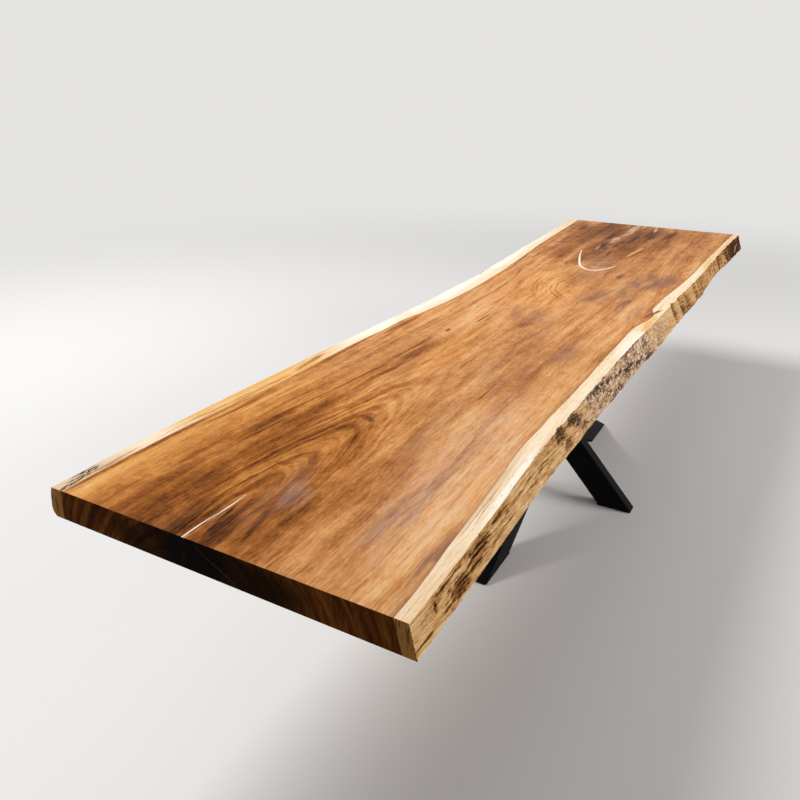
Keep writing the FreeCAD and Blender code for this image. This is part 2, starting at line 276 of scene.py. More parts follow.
# the live edge as the bark left it: depths and lengths in metres, noise as (smoothness, spacing, octaves)
# and scars as (x, height share, length, height, depth, darkness)
liveEdge = dict(
    outset=0.003,                                             # the solid's edge is the middle of the wear
    swell=0.003, swellLength=0.22, swellUp=0.8, swellSeed=9,
    fibre=0.0008, fibreAlong=30, fibreUp=16, fibreSlant=5, fibreSeed=3, fibreNoise=(1.0, 2.0, 3),
    # upright flutes up to the far end, then the crust of the roughest stretch
    ridges=[
        dict(depth=0.0055, along=20, lean=0.7, up=0.4, seed=7, noise=(1.0, 2.0, 2), dark=1.1,
             start=0.30, end=slabHigh.x + slabLength),
        dict(depth=0.0045, along=26, lean=2, up=4, seed=5, noise=(0.7, 2.0, 4), dark=0.8,
             start=-0.88, end=0.0),
    ],
    # ridges deeper than darkFrom are painted darker, as shade in their hollows
    ridgeSpread=0.6, darkFrom=0.3,                            # ridges darken the edge past this level
    hem=0.006, hemLength=0.09, hemFrom=-0.9, hemSeed=4,       # the ragged lower corner
    heel=0.010, heelHeight=0.22,                              # the left edge's rounded lower corner
    soundFrom=-0.22, soundTo=0.14, soundShare=0.4,            # little wear over the right mounting plate
    slope=0.1,                                                # each stretch begins and ends over this length
    scarRim=1.3, ragged=0.5, raggedAlong=55, raggedUp=7, raggedNoise=(0.8, 2.0, 4),
    rightScars=[
        (-1.655, 0.36, 0.055, 0.26, 0.003, 1.1), (-1.545, 0.66, 0.055, 0.26, 0.003, 1.0),
        (-1.66, 0.84, 0.090, 0.06, 0.002, 0.8), (-1.755, 0.64, 0.005, 0.15, 0.002, 1.3),
        (-1.80, 0.20, 0.050, 0.05, 0.001, 0.7), (-1.44, 0.80, 0.070, 0.10, 0.002, 0.8),
        (-1.33, 0.62, 0.120, 0.07, 0.002, 0.5), (-1.68, 0.22, 0.060, 0.06, 0.001, 0.7),
        (-1.16, 0.50, 0.045, 0.12, 0.002, 0.5), (-1.575, 0.50, 0.045, 0.20, 0.003, 1.1),
        (-1.00, 0.76, 0.034, 0.28, 0.008, 1.2), (-1.42, 0.30, 0.080, 0.05, 0.001, 0.5),
        (-1.24, 0.34, 0.060, 0.06, 0.001, 0.4), (-0.97, 0.30, 0.026, 0.20, 0.004, 0.55),
        (-0.90, 0.80, 0.040, 0.22, 0.007, 1.2), (-0.86, 0.56, 0.026, 0.26, 0.006, 1.0),
        (-0.82, 0.28, 0.022, 0.20, 0.004, 0.55), (-0.66, 0.86, 0.060, 0.09, 0.004, 1.1),
        (-0.56, 0.72, 0.060, 0.09, 0.004, 1.1), (-0.46, 0.56, 0.060, 0.08, 0.004, 1.1),
        (-0.36, 0.40, 0.060, 0.08, 0.004, 1.1), (-0.26, 0.24, 0.060, 0.08, 0.003, 1.0),
        (-0.16, 0.10, 0.060, 0.07, 0.003, 0.9), (0.29, 0.80, 0.024, 0.75, 0.009, 0.6),
        (1.66, 0.45, 0.20, 0.80, 0.002, 1.0),
    ],
    leftScars=[
        (-1.77, 0.95, 0.060, 0.18, 0.003, 0.9), (-0.95, 0.50, 0.090, 0.22, 0.004, 0.7),
        (0.32, 0.92, 0.200, 0.12, 0.002, 0.5), (1.10, 0.40, 0.110, 0.25, 0.004, 0.8),
        (-0.30, 0.40, 0.120, 0.16, 0.003, 0.7), (1.62, 0.50, 0.060, 0.30, 0.004, 0.7),
    ],
)


# how deep the scars are at a place and how dark they are painted: dark bark in them, and painted shade in
# their dents
def scarAt(x, height, side, rows):
    depth = 0.0
    dark = 0.0
    spot = Vector((x * liveEdge["raggedAlong"], height * liveEdge["raggedUp"], side))
    ragged = noise.fractal(spot, *liveEdge["raggedNoise"]) * liveEdge["ragged"]
    for scarX, scarHeight, length, tall, deep, darkness in rows:
        reach = math.hypot((x - scarX) / length, (height - scarHeight) / tall) + ragged
        inside = min(max(liveEdge["scarRim"] - reach, 0.0), 1.0)
        depth = max(depth, deep * inside)
        dark = max(dark, darkness * inside)
    return depth, dark


# 0 outside the two places and 1 between them, with an easy slope at both
def within(x, start, end):
    return min(max(min(x - start, end - x) / liveEdge["slope"], 0.0), 1.0)


# how deep the edge is worn at a place, and how dark it is painted there: dark bark in its scars, and painted
# shade in the hollows of its scars and flutes
def edgeWear(x, z, side):
    edge = liveEdge
    height = (z - slabLow.z) / slabDepth
    depth, dark = scarAt(x, height, side, edge["rightScars"] if side < 0 else edge["leftScars"])
    swellSpot = Vector((x / edge["swellLength"], height * edge["swellUp"], side * edge["swellSeed"]))
    depth += edge["swell"] * (0.5 + 0.5 * noise.noise(swellSpot))
    slant = height * edge["fibreUp"] + x * edge["fibreSlant"]
    fibreSpot = Vector((x * edge["fibreAlong"], slant, side * edge["fibreSeed"]))
    depth += edge["fibre"] * noise.fractal(fibreSpot, *edge["fibreNoise"])
    for ridge in edge["ridges"]:
        lean = x * ridge["along"] + height * ridge["lean"]
        level = noise.fractal(Vector((lean, height * ridge["up"], side * ridge["seed"])), *ridge["noise"])
        level = (0.5 + edge["ridgeSpread"] * level) * within(x, ridge["start"], ridge["end"])
        depth += ridge["depth"] * level
        # the deeper a ridge's hollow, the darker it is painted: painted shade in the flutes
        dark = max(dark, level * ridge["dark"] - edge["darkFrom"])
    hem = 0.5 + 0.5 * noise.noise(Vector((x / edge["hemLength"], side * edge["hemSeed"], 0.0)))
    depth += edge["hem"] * hem * (1 - height) ** 2 * within(x, edge["hemFrom"], slabHigh.x + slabLength)
    if side > 0:
        depth += edge["heel"] * max(0.0, 1 - height / edge["heelHeight"]) ** 2
    else:
        depth *= 1 - (1 - edge["soundShare"]) * within(x, edge["soundFrom"], edge["soundTo"])
    return max(depth, 0.0), dark


# the worn edge at a place: how far it reaches, how dark it is, and how far the solid reaches
def edgeLine(x, z, side):
    depth, dark = edgeWear(x, z, side)
    smooth = edgeReach(x, z, side)
    worn = min(max(smooth - side * (depth - liveEdge["outset"]), slabLow.y), slabHigh.y)
    return worn, dark, smooth


topFace, edgeFace, endFace = range(3)        # the places of the slab's three finishes


def makeSlab(finishes):
    shape = bmesh.new()
    bmesh.ops.create_cube(shape, size=1.0)
    for axis, parts in enumerate((slab["columns"], slab["topRows"], slab["edgeRows"])):
        # an edge that runs this way is one unit long
        runs = [e for e in shape.edges if abs(e.verts[0].co[axis] - e.verts[1].co[axis]) > 0.5]
        bmesh.ops.subdivide_edges(shape, edges=runs, cuts=parts - 1)
    lines = {}
    for vert in shape.verts:
        share, across, up = vert.co + Vector((0.5, 0.5, 0.5))
        x = slabLow.x + slab["skin"] + share * (slabLength - 2 * slab["skin"])
        z = slabLow.z + up * (slabDepth - slab["skin"])
        spot = (round(share * slab["columns"]), round(up * slab["edgeRows"]))
        if spot not in lines:
            lines[spot] = edgeLine(x, z, -1), edgeLine(x, z, 1)
        right, left = lines[spot][0][0], lines[spot][1][0]
        across = 0.5 - 0.5 * math.cos(math.pi * across)        # rows crowd towards the edges
        vert.co = Vector((x, right + across * (left - right), z))
    cornerAngle = math.radians(slab["cornerAngle"])
    corners = [e for e in shape.edges if e.calc_face_angle(0.0) > cornerAngle]
    bmesh.ops.bevel(shape, geom=corners, offset=slab["arris"], segments=slab["arrisSegments"],
                    profile=0.5, affect="EDGES", material=-1)
    bmesh.ops.recalc_face_normals(shape, faces=shape.faces)
    sap = shape.verts.layers.float.new("sap")
    # the darkness of the edge: dark bark in the scars, and painted shade in the hollows of the scars and
    # flutes
    scar = shape.verts.layers.float.new("scar")
    for vert in shape.verts:
        x, y, z = vert.co
        column = round((x - slabLow.x) / slabLength * slab["columns"])
        row = round((z - slabLow.z) / slabDepth * slab["edgeRows"])
        (_, darkRight, right), (_, darkLeft, left) = lines[column, row]
        inRight = sapWidth(x, -1) - (y - right)
        inLeft = sapWidth(x, 1) - (left - y)
        vert[sap] = max(inRight, inLeft)
        vert[scar] = darkRight if inRight > inLeft else darkLeft
    for face in shape.faces:
        middle = face.calc_center_median()
        onTop = min(slabHigh.z - middle.z, middle.z - slabLow.z) < slab["arris"]
        onEnd = min(slabHigh.x - middle.x, middle.x - slabLow.x) < slab["arris"]
        face.material_index = endFace if onEnd else topFace if onTop else edgeFace
    piece = addMesh("slab", shape)
    piece.data.shade_smooth()
    piece.data.set_sharp_from_angle(angle=math.radians(slab["sharpAngle"]))
    for finish in finishes:
        piece.data.materials.append(finish)
    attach(piece, "root")
    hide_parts("slab_top")
    return piece


# the wood's figure: the pith's depth under the top and its place across, along shares of the length,
# then the marks on the top, each (x, y, half length, half width, turn, strength) in metres and degrees
figure = dict(
    depthScale=0.15,
    depth=[(0.0, 0.0), (0.066, 0.12), (0.12, 0.40), (0.175, 0.57), (0.229, 0.70), (0.31, 0.86), (0.365, 0.95),
           (0.446, 0.80), (0.527, 0.68), (0.608, 0.50), (0.663, 0.28), (0.703, 0.0), (1.0, 0.0)],
    acrossScale=0.1,
    across=[
        (0.0, 0.81), (0.175, 0.68), (0.256, 0.55), (0.337, 0.35), (0.405, 0.0), (0.54, 0.2),
        (0.608, 0.35), (0.679, 0.25), (0.73, 0.4), (0.852, 0.6), (1.0, 0.65),
    ],
    lowerSpread=0.72,       # rings lie wider apart on the right of the pith
    # the grain opens around the curved crack
    partFrom=-0.15, partTo=0.65, partMiddle=0.03, partReach=0.36, partCore=0.05, partShare=0.42,
    wanderBend=0.05, rippleBend=0.012,
    # how far ripple and sway bend the marks: both along, then both across
    bends=dict(flat=(0.08, 0.14, 0.012, 0.035), thin=(0.0, 0.0, 0.004, 0.022)),
    # easings, as (low, high, full, floor): fibres and wisps break marks up, firm gives lines an edge
    frayed=(0.38, 0.6, 1.2, 0.3), wispy=(0.38, 0.64, 1.0, 0.15), firm=(0.15, 0.75),
    frayShare=0.55, cloudShare=0.6,       # of streaks against fibres, of clouds against mottle
    darkStreaks=[
        (-1.74, 0.432, 0.12, 0.008, 0, 1.0), (-1.53, 0.429, 0.18, 0.009, -3, 1.0),
        (-1.28, 0.402, 0.16, 0.008, -2, 0.7), (-1.10, 0.190, 0.26, 0.010, -7, 0.5),
        (-1.56, 0.308, 0.14, 0.012, -2, 0.6), (-1.38, 0.278, 0.16, 0.020, -9, 0.6),
        (-1.22, 0.262, 0.18, 0.007, -7, 0.8), (-1.22, 0.215, 0.20, 0.018, -6, 0.7),
        (-0.95, 0.232, 0.22, 0.007, -5, 0.7), (-0.92, 0.188, 0.24, 0.014, -4, 0.7),
        (-0.68, 0.182, 0.18, 0.024, -2, 0.8), (-0.66, 0.216, 0.18, 0.006, -3, 0.6),
        (-1.35, 0.245, 0.14, 0.008, -8, 0.6), (-0.20, 0.262, 0.26, 0.010, -3, 0.4),
        (-0.55, 0.300, 0.20, 0.008, -3, 0.4), (0.20, 0.255, 0.26, 0.009, 2, 0.5),
        (-1.79, 0.132, 0.14, 0.026, 6, 0.8), (-1.80, 0.030, 0.10, 0.030, 14, 0.6),
        (-1.75, 0.116, 0.12, 0.007, 7, 1.2), (-1.195, 0.055, 0.016, 0.034, -20, 0.8),
        (-1.72, -0.010, 0.10, 0.010, 16, 0.8), (-1.76, 0.060, 0.08, 0.006, 8, 0.8),
        (-1.12, 0.140, 0.24, 0.012, -14, 0.6), (-1.50, 0.080, 0.014, 0.050, 4, 0.4),
        (-1.66, -0.058, 0.16, 0.010, 2, 0.4), (-1.40, -0.030, 0.12, 0.008, 14, 0.4),
        (-0.86, 0.052, 0.05, 0.026, -20, 0.3), (-0.78, 0.398, 0.28, 0.008, -1, 0.6),
        (-0.45, 0.370, 0.18, 0.014, -2, 1.0), (0.74, 0.148, 0.05, 0.010, 12, 0.8),
        (0.10, -0.384, 0.07, 0.010, -10, 0.9), (-1.45, -0.366, 0.34, 0.007, 3, 0.4),
        (0.61, -0.137, 0.05, 0.014, -4, 1.1), (1.62, 0.340, 0.12, 0.030, 6, 0.7),
        (1.60, -0.145, 0.18, 0.024, -4, 0.8), (1.08, -0.092, 0.16, 0.012, -4, 0.5),
        (1.20, 0.105, 0.12, 0.014, 2, 1.0), (1.27, 0.045, 0.16, 0.016, -4, 1.0),
        (1.455, 0.130, 0.10, 0.014, 2, 1.0), (1.42, 0.002, 0.14, 0.016, -4, 1.0),
        (1.64, -0.040, 0.18, 0.016, -4, 1.0), (1.05, 0.032, 0.10, 0.012, 4, 0.9),
    ],
    # thin crisp lines
    thinLines=[
        (0.10, 0.256, 0.34, 0.0040, 0, 0.7), (0.47, 0.280, 0.14, 0.0045, 10, 0.9),
        (0.66, 0.358, 0.24, 0.0060, 6, 1.0), (0.90, 0.340, 0.20, 0.0045, 5, 0.8),
        (-0.34, 0.268, 0.22, 0.0035, -4, 0.6), (-0.10, 0.330, 0.30, 0.0030, 2, 0.5),
        (1.30, -0.428, 0.45, 0.0030, -1, 0.6), (-0.95, 0.228, 0.22, 0.0040, -5, 0.4),
        (-0.66, 0.212, 0.22, 0.0040, -4, 0.4), (-1.15, 0.300, 0.30, 0.0040, -5, 0.5),
        (-0.80, 0.170, 0.24, 0.0040, -6, 0.5), (-1.02, 0.270, 0.26, 0.0040, -4, 0.4),
        (-1.30, 0.395, 0.18, 0.0050, -3, 0.7), (-0.85, 0.315, 0.30, 0.0035, -3, 0.5),
    ],
    # bright golden lines
    goldLines=[
        (1.13, -0.077, 0.16, 0.0075, -5, 1.2), (-1.20, 0.372, 0.22, 0.0120, -3, 0.5),
        (-1.36, 0.412, 0.14, 0.0090, -4, 0.5), (-1.10, 0.340, 0.24, 0.0100, -4, 0.45),
    ],
    splits=[(-0.90, -0.148, 0.060, 0.0042, 0, 1.0), (-0.83, -0.147, 0.05, 0.0022, 2, 0.6),
            (-0.43, 0.196, 0.024, 0.0090, 4, 1.0), (-0.24, 0.144, 0.085, 0.0052, -1, 1.0),
            (1.484, -0.296, 0.013, 0.017, 0, 1.0), (1.500, -0.312, 0.022, 0.007, 0, 0.9)],
    mauveClouds=[
        (-1.60, -0.235, 0.22, 0.030, 0, 0.9), (-1.42, -0.262, 0.28, 0.022, 2, 0.9),
        (-1.68, -0.386, 0.22, 0.026, 2, 1.2), (-0.62, -0.080, 0.30, 0.050, 0, 0.8),
        (-0.66, -0.170, 0.28, 0.080, 0, 0.8), (-0.45, -0.240, 0.24, 0.050, 0, 0.8),
        (-0.16, -0.010, 0.18, 0.100, 20, 0.8), (-0.12, 0.060, 0.12, 0.030, 20, 0.7),
        (-0.40, -0.100, 0.26, 0.050, 0, 0.6), (0.20, -0.108, 0.11, 0.040, -14, 1.4),
        (0.30, -0.150, 0.18, 0.070, -24, 1.2), (0.38, -0.230, 0.28, 0.070, -20, 1.2),
        (0.56, -0.270, 0.26, 0.110, -16, 1.3), (0.16, -0.255, 0.18, 0.030, -4, 0.9),
        (0.45, 0.020, 0.12, 0.050, 10, 0.8), (0.58, -0.020, 0.14, 0.040, -10, 0.8),
        (0.92, 0.030, 0.30, 0.100, 8, 0.8), (0.10, -0.330, 0.16, 0.030, 0, 0.8),
        (0.61, -0.137, 0.08, 0.022, -4, 1.4), (-1.62, 0.020, 0.20, 0.050, 6, 0.6),
        (-1.10, -0.120, 0.40, 0.040, 3, 0.6), (0.14, -0.380, 0.10, 0.026, -4, 1.0),
        (0.22, -0.115, 0.08, 0.020, -10, 1.7), (0.36, -0.170, 0.14, 0.016, -24, 1.6),
        (0.55, -0.300, 0.18, 0.030, -12, 1.5), (0.24, -0.270, 0.14, 0.014, -6, 1.4),
    ],
    cores=[
        (1.32, 0.020, 0.50, 0.085, -1, 1.1), (1.10, 0.075, 0.24, 0.055, 4, 1.2),
        (1.45, 0.128, 0.28, 0.046, 4, 1.4), (1.64, -0.045, 0.34, 0.050, 0, 1.3),
        (1.72, 0.130, 0.24, 0.070, 0, 1.0), (1.55, 0.220, 0.44, 0.090, 2, 0.7),
        (0.90, 0.035, 0.20, 0.060, 14, 0.9), (1.64, 0.320, 0.16, 0.050, 6, 0.8),
        (1.30, 0.325, 0.30, 0.018, 2, 0.9), (1.66, -0.130, 0.26, 0.050, -3, 0.8),
        (0.78, 0.010, 0.12, 0.070, 10, 0.7), (-1.80, 0.138, 0.15, 0.034, 5, 0.6),
        (-1.80, 0.034, 0.12, 0.036, 12, 0.6), (-1.195, 0.055, 0.022, 0.040, -20, 0.8),
    ],
    # brown clouds in the wood; the strong rows at the near end, x -1.8 to -1.46, are painted shade that
    # darkens the near left corner
    brownCloudsAndShade=[
        (-1.80, 0.17, 0.34, 0.24, 0, 1.3), (-1.35, 0.14, 0.50, 0.14, -6, 0.25),
        (1.50, 0.22, 0.56, 0.16, 0, 0.9), (-1.00, 0.32, 0.60, 0.08, -3, 0.25),
        (1.10, 0.26, 0.50, 0.10, 4, 0.6), (1.40, 0.03, 0.70, 0.16, 0, 0.8),
        (-1.80, 0.08, 0.22, 0.16, 0, 0.8), (-0.75, 0.20, 0.40, 0.08, -6, 0.4),
        (-1.60, -0.14, 0.36, 0.12, 0, 0.45), (-1.46, 0.09, 0.38, 0.17, -4, 1.0),
        (-1.70, -0.03, 0.26, 0.10, 4, 1.2), (-0.82, -0.20, 0.26, 0.08, 0, 0.6),
        (1.10, 0.115, 0.44, 0.08, 0, 1.4), (1.42, -0.15, 0.46, 0.09, -3, 1.25),
        (1.66, -0.25, 0.28, 0.12, -3, 0.8), (1.56, -0.40, 0.32, 0.06, -3, 0.6),
        (1.62, 0.36, 0.24, 0.06, 3, 0.8), (1.05, -0.19, 0.30, 0.07, -3, 0.5),
        (-1.46, 0.295, 0.30, 0.08, -4, 0.75), (0.80, -0.20, 0.24, 0.09, -4, 0.5),
        (1.50, 0.12, 0.32, 0.07, 0, 1.2), (1.62, -0.08, 0.24, 0.08, 0, 1.1),
    ],
    goldBands=[
        (-0.55, 0.110, 0.30, 0.03, -2, 0.9), (0.30, 0.12, 0.34, 0.14, 8, 0.7),
        (1.70, -0.28, 0.20, 0.10, 0, 0.7), (-1.50, -0.33, 0.50, 0.10, 2, 1.2),
        (-1.20, 0.372, 0.30, 0.03, -3, 1.1), (1.22, -0.066, 0.28, 0.007, -3, 1.2),
        (0.75, 0.265, 0.14, 0.05, 10, 0.8), (-1.08, -0.20, 0.26, 0.12, 0, 0.5),
        (1.05, -0.20, 0.45, 0.08, -3, 0.5), (-1.75, -0.15, 0.20, 0.10, 0, 0.7),
        (0.45, -0.12, 0.06, 0.03, 10, 0.9), (0.10, -0.04, 0.12, 0.05, -30, 0.6),
        (1.72, -0.37, 0.10, 0.03, 0, 0.8),
    ],
    # broad lighter fields
    lightFields=[
        (0.22, 0.24, 0.78, 0.14, 3, 1.0), (0.08, 0.03, 0.42, 0.18, 0, 0.9),
        (0.10, -0.34, 0.62, 0.07, -1, 1.1), (-0.10, -0.24, 0.40, 0.12, 0, 0.6),
        (-1.25, -0.33, 0.60, 0.07, 2, 0.8), (-0.36, 0.35, 0.42, 0.06, -3, 0.9),
        (0.90, -0.385, 0.26, 0.04, -3, 0.8), (0.62, 0.27, 0.44, 0.10, 6, 1.0),
        (-0.70, 0.07, 0.24, 0.07, -2, 0.8),
    ],
    # broad golden washes
    goldWash=[
        (-1.60, 0.22, 0.90, 0.42, 0, 0.75), (0.32, 0.10, 0.40, 0.20, 5, 0.5),
        (-0.6, 0.11, 0.40, 0.06, -2, 0.5),
    ],
    # pinkish blushes in the wood, and at (-1.59, -0.014) a painted sheen: a soft pale spot that stands in for
    # a reflection on the lacquer
    blushesAndSheen=[
        (1.37, 0.084, 0.13, 0.022, 0, 1.1), (1.68, 0.072, 0.28, 0.024, -1, 1.2),
        (1.15, 0.115, 0.09, 0.010, 4, 0.7), (1.78, -0.040, 0.12, 0.012, 4, 1.0),
        (1.12, 0.338, 0.08, 0.014, -14, 0.7), (-1.59, -0.014, 0.08, 0.045, 20, 0.28),
        (1.82, 0.030, 0.09, 0.014, 0, 1.0), (0.72, -0.010, 0.06, 0.050, 40, 0.5),
        (1.01, 0.162, 0.03, 0.007, 10, 0.9), (-1.28, -0.27, 0.58, 0.13, 2, 0.45),
    ],
    # marks made by the saw across the grain
    sawMarks=[(-1.70, 0.26, 0.34, 0.22, 0, 1.0), (-1.65, -0.20, 0.34, 0.20, 0, 0.6)],
    sapGold=[
        (-1.14, 0.45, 0.44, 0.08, -2, 1.5), (0.0, -0.410, 0.13, 0.03, 0, 0.9),
        (1.60, -0.46, 1.00, 0.08, 0, 0.7), (-1.75, -0.45, 0.30, 0.05, 0, 0.5),
        (-0.36, 0.41, 0.10, 0.05, 0, 0.4), (1.70, 0.47, 0.50, 0.06, 2, 0.3),
    ],
    sapTan=[
        (-1.80, 0.46, 0.20, 0.06, 0, 1.0), (-1.72, -0.43, 0.20, 0.05, 2, 0.2),
        (-1.40, -0.380, 0.32, 0.012, 2, 0.8),
    ],
    sapPale=[
        (-0.42, 0.428, 0.36, 0.042, -2, 1.0), (0.10, 0.414, 0.42, 0.042, 1, 1.0),
        (0.66, 0.430, 0.46, 0.040, 3, 0.9), (1.15, 0.455, 0.44, 0.036, 2, 0.6),
        (-1.33, -0.409, 0.22, 0.014, 3, 0.9), (-0.25, -0.405, 0.24, 0.040, 0, 0.6),
    ],
    sapStains=[
        (-0.92, 0.438, 0.11, 0.012, 2, 1.0), (-1.34, 0.446, 0.18, 0.006, -2, 0.7),
        (-1.16, 0.430, 0.16, 0.006, -2, 0.8), (-1.72, 0.450, 0.14, 0.006, 1, 0.6),
        (0.12, -0.399, 0.08, 0.009, -13, 1.1),
    ],
    # thin pencil lines in the sapwood
    sapLines=[
        (-1.45, -0.3895, 0.15, 0.0022, 2, 1.0), (-1.455, -0.3955, 0.09, 0.0018, 5, 0.8),
        (-1.24, 0.440, 0.26, 0.0030, -1, 0.8), (-1.50, 0.452, 0.20, 0.0025, -3, 0.7),
        (0.35, 0.410, 0.30, 0.0020, 2, 0.4),
    ],
    barkMarks=[
        (-1.765, 0.462, 0.070, 0.018, 8, 1.0), (-1.815, 0.448, 0.045, 0.009, 6, 1.0),
        (0.33, 0.426, 0.20, 0.005, 2, 0.8),
    ],
    flames=[(-1.25, 0.07, 0.70, 0.17, -2, 1.0), (-0.25, 0.0, 0.12, 0.09, 0, 0.8)],
    # a fan of fine arcs about its own middle
    fanX=0.38, fanY=-0.12, fanSquash=0.62,
    fans=[(0.30, 0.075, 0.30, 0.13, 18, 1.0), (0.62, 0.22, 0.30, 0.12, 14, 0.5)],
    midLevel=0.563, farDarker=0.016,      # the wood's lightness at the middle, and its fall in each metre
    # how strongly each noise shows: everywhere, in the flames, in the fans and in the saw's marks
    shares=dict(streaks=0.7, fibres=0.6, clouds=0.9, swathes=0.6, dashes=0.4),
    bandShare=0.5, flameBandShare=0.7, fineBandShare=0.9, fanShare=1.5, sawShare=0.18,
    levels=dict(ink=0.0, dark=0.16, brown=0.38, golden=0.6, light=0.82, pale=1.0),
    # how far each list lightens or darkens the wood, and the field that bends it
    weights=dict(darkStreaks=("thin", -0.36), brownCloudsAndShade=("flat", -0.30), goldBands=("flat", 0.12),
                 lightFields=("flat", 0.20)),
)
woodTones = dict(
    ink=tone(44, 24, 14), dark=tone(104, 58, 28), brown=tone(162, 101, 54), golden=tone(204, 141, 86),
    light=tone(226, 172, 114), pale=tone(234, 192, 142), core=tone(106, 67, 47), amber=tone(232, 150, 84),
    mauve=tone(142, 99, 84), goldTint=tone(255, 244, 194), blush=tone(234, 198, 174), line=tone(116, 64, 34),
    goldLine=tone(242, 182, 106), split=tone(112, 56, 26), rim=tone(122, 76, 50), sap=tone(252, 231, 200),
    sapStreak=tone(234, 197, 146), sapGold=tone(236, 178, 98), sapTan=tone(226, 192, 156),
    sapPale=tone(254, 250, 234), sapStain=tone(150, 96, 50), pencil=tone(176, 122, 78), bark=tone(52, 40, 30),
)
# the paints that lie over the grain: the noise that breaks them up or the field that bends firm lines,
# then their marks, their tone and their share
washes = (
    ("haze", "lightFields", "amber", 0.38),
    ("feather", "cores", "core", 0.72),
    ("haze", "mauveClouds", "mauve", 0.66),
    # the blushes, and among them a painted sheen spot on the near top
    ("feather", "blushesAndSheen", "blush", 0.8),
    ("thin", "thinLines", "line", 0.7),
    ("thin", "goldLines", "goldLine", 0.85),
    ("crisp", "splits", "split", 0.8),
)
# the noises of the top, each (scale along, scale across and up, detail, roughness)
topGrains = dict(
    straight=dict(
        wander=(2.2, 6.0, 3.0, 0.5), ripple=(14.0, 40.0, 3.0, 0.5), sway=(5.0, 11.0, 3.0, 0.5),
        fibres=(11.0, 260.0, 4.0, 0.7), mottle=(20.0, 26.0, 4.0, 0.6), clouds=(2.4, 7.0, 4.0, 0.6),
        sawn=(190.0, 22.0, 4.0, 0.6), pores=(40.0, 420.0, 2.0, 0.5), dashes=(55.0, 190.0, 2.0, 0.6),
        ragged=(3.0, 60.0, 4.0, 0.6),
    ),
    # these bend with the grain
    bent=dict(
        streaks=(2.6, 34.0, 6.0, 0.7), swathes=(0.9, 15.0, 3.0, 0.55), feather=(9.0, 50.0, 5.0, 0.72),
        haze=(5.0, 24.0, 4.0, 0.6),
    ),
    # these follow rings: scale over the rings, along and across, then detail and roughness
    ringed=dict(
        bands=(40.0, 0.9, 2.0, 5.0, 0.68), fineBands=(140.0, 1.4, 3.0, 2.0, 0.5),
        fan=(120.0, 2.0, 2.0, 3.0, 0.6),
    ),
)


# the fields that paint the top: long fibres, broad clouds, and rings about a wandering pith
def woodFields(finish):
    field = {}
    for name, (along, aside, detail, roughness) in topGrains["straight"].items():
        field[name] = finish.texture(along, aside, aside, detail, roughness)
    wander, ripple, sway = [field[name] - 0.5 for name in ("wander", "ripple", "sway")]
    fromPart = finish.y - figure["partMiddle"]
    awayFromPart = fromPart.math("ABSOLUTE")
    parted = finish.ease(awayFromPart, figure["partReach"], figure["partCore"], figure["partShare"])
    parted = parted * finish.ease(finish.x, figure["partFrom"], figure["partTo"]) * fromPart
    across = finish.y - parted + wander * figure["wanderBend"] + ripple * figure["rippleBend"]
    share = alongShare(finish)
    fromPith = across - finish.course(share, figure["across"]) * figure["acrossScale"]
    fromPith = fromPith.math("MAXIMUM", 0.0) - fromPith.math("MINIMUM", 0.0) * figure["lowerSpread"]
    pithDepth = finish.course(share, figure["depth"]) * figure["depthScale"] + (slabHigh.z - finish.z)
    rings = finish.radius(fromPith, pithDepth)
    fanRings = finish.radius((finish.x - figure["fanX"]) * figure["fanSquash"], across - figure["fanY"])
    for name, (along, aside, detail, roughness) in topGrains["bent"].items():
        place = finish.vector(finish.x * along, across * aside, finish.z * aside)
        field[name] = finish.grain(place, detail, roughness)
    for name, (over, along, aside, detail, roughness) in topGrains["ringed"].items():
        around = fanRings if name == "fan" else rings
        place = finish.vector(around * over, finish.x * along, finish.y * aside)
        field[name] = finish.grain(place, detail, roughness)
    for name, (rippleAlong, swayAlong, rippleAside, swayAside) in figure["bends"].items():
        bentX = ripple.scaled(rippleAlong, sway.scaled(swayAlong, finish.x))
        bentY = ripple.scaled(rippleAside, sway.scaled(swayAside, finish.y))
        field[name] = (bentX, bentY)
    field["crisp"] = (finish.x, finish.y)
    field["fray"] = blended(field["streaks"], field["fibres"], figure["frayShare"])
    field["clouds"] = blended(field["clouds"], field["mottle"], figure["cloudShare"])
    return field


def heartwood(finish, field):
    flames = finish.ovals(field["flat"], figure["flames"])
    fans = finish.ovals(field["thin"], figure["fans"])
    saw = finish.ovals(field["flat"], figure["sawMarks"])
    shares = dict(
        figure["shares"],
        bands=flames * figure["flameBandShare"] + figure["bandShare"],
        fineBands=flames * figure["fineBandShare"],
        fan=fans * figure["fanShare"],
        sawn=saw * figure["sawShare"],
    )
    level = finish.x.scaled(-figure["farDarker"], figure["midLevel"])
    for name, share in shares.items():
        level = level + (field[name] - 0.5) * share
    for rows, (bend, weight) in figure["weights"].items():
        level = level + finish.broken(field[bend], figure[rows], field["fray"], figure["frayed"]) * weight
    colour = finish.ramp(level, [(position, woodTones[name]) for name, position in figure["levels"].items()])
    gold = finish.ovals(field["flat"], figure["goldWash"])
    colour = finish.mix(gold, colour, woodTones["goldTint"], "MULTIPLY")
    for kind, rows, name, weight in washes:
        if kind in topGrains["bent"]:
            shown = finish.broken(field["flat"], figure[rows], field[kind], figure["wispy"])
        else:
            shown = finish.ease(finish.ovals(field[kind], figure[rows]), *figure["firm"])
        colour = finish.mix(shown * weight, colour, woodTones[name])
    return colour


# the sapwood's paints: where a noise starts and ends to show in each, and how strongly
sapLook = dict(
    speckleShare=0.5,        # of streaks against fibres
    streak=(0.46, 0.64), gold=(0.40, 0.60, 1.0, 0.4), pencil=(0.40, 0.55, 0.8), bark=(0.44, 0.54),
    tanShare=0.85,
)


